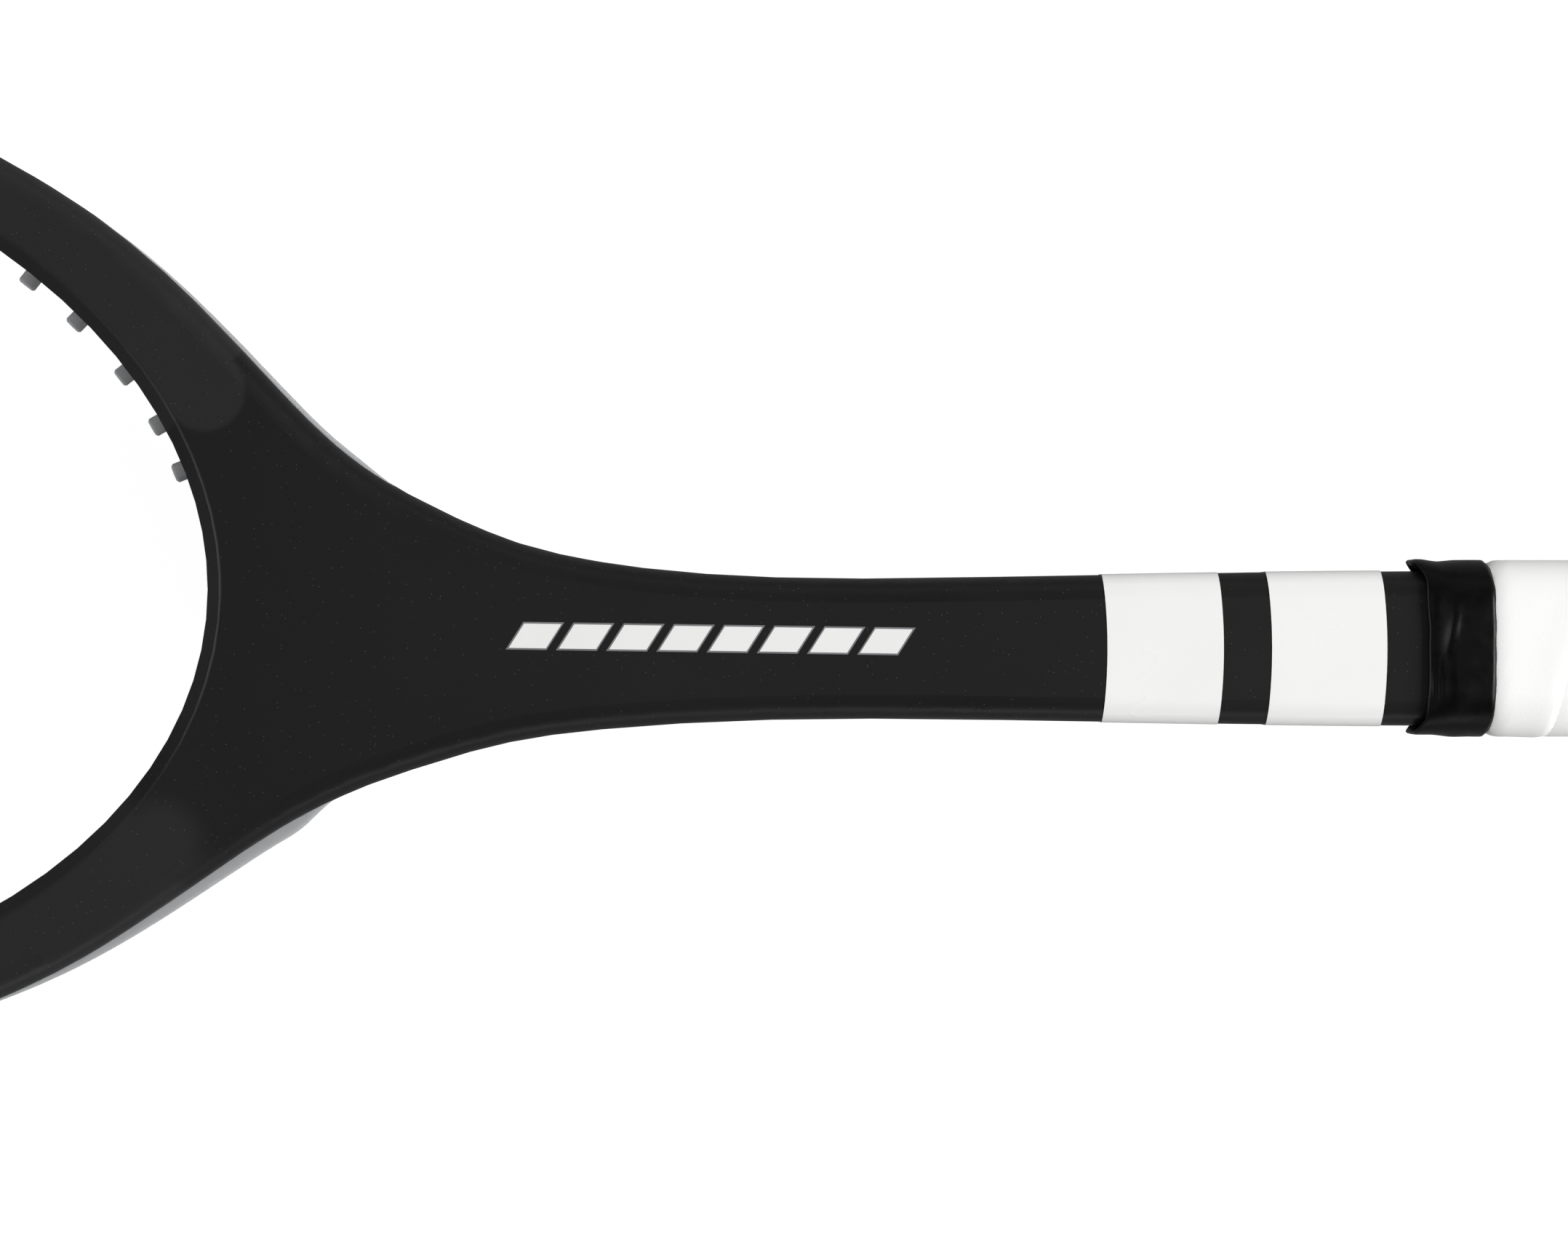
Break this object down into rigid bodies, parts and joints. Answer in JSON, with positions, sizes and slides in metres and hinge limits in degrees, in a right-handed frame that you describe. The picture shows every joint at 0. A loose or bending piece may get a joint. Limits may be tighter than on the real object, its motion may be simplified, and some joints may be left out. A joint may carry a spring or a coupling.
{
  "type": "squash racket",
  "caption": "Unstrung racket: hollow composite hoop with a closed throat and a canted head, grommet strips and head bumper, banded shaft, and a wrapped handle with a flared butt cap.",
  "frame": {"origin": "centre of the flat end of the butt", "axes": "+X up the handle to the head, +Z out of the decorated face, +Y to the left when the head is held up"},
  "size_m": [0.6863, 0.1813, 0.0336],
  "materials": {
    "black_frame": "matte black paint over carbon fibre laminate",
    "core_foam": "closed-cell foam",
    "bumper_nylon": "black moulded nylon",
    "grommet_nylon": "grey translucent moulded nylon",
    "pallet_foam": "dense moulded polyurethane",
    "weight_metal": "dull cast metal",
    "cap_rubber": "soft moulded rubber",
    "tack_steel": "bright steel wire",
    "badge_plastic": "plain gloss badge",
    "white_grip": "smooth white polyurethane tape",
    "tape_film": "thin black adhesive tape",
    "collar_rubber": "stretched glossy black rubber",
    "white_lacquer": "white lacquer band",
    "decal_film": "white printed film"
  },
  "bodies": {
    "root": {"frame_shell": "black_frame", "foam_core": "core_foam", "head_bumper": "bumper_nylon", "grommet_strip_left": "grommet_nylon", "grommet_strip_right": "grommet_nylon", "handle_pallet_front": "pallet_foam", "handle_pallet_back": "pallet_foam", "shaft_end_plug": "core_foam", "balance_weight": "weight_metal", "butt_cap": "cap_rubber", "butt_cap_tacks": "tack_steel", "butt_badge": "badge_plastic", "grip_staple": "tack_steel", "grip_tape": "white_grip", "finishing_tape": "tape_film", "grip_collar": "collar_rubber", "shaft_band_outer": "white_lacquer", "shaft_band_inner": "white_lacquer", "throat_decal": "decal_film"}
  },
  "joints": []
}
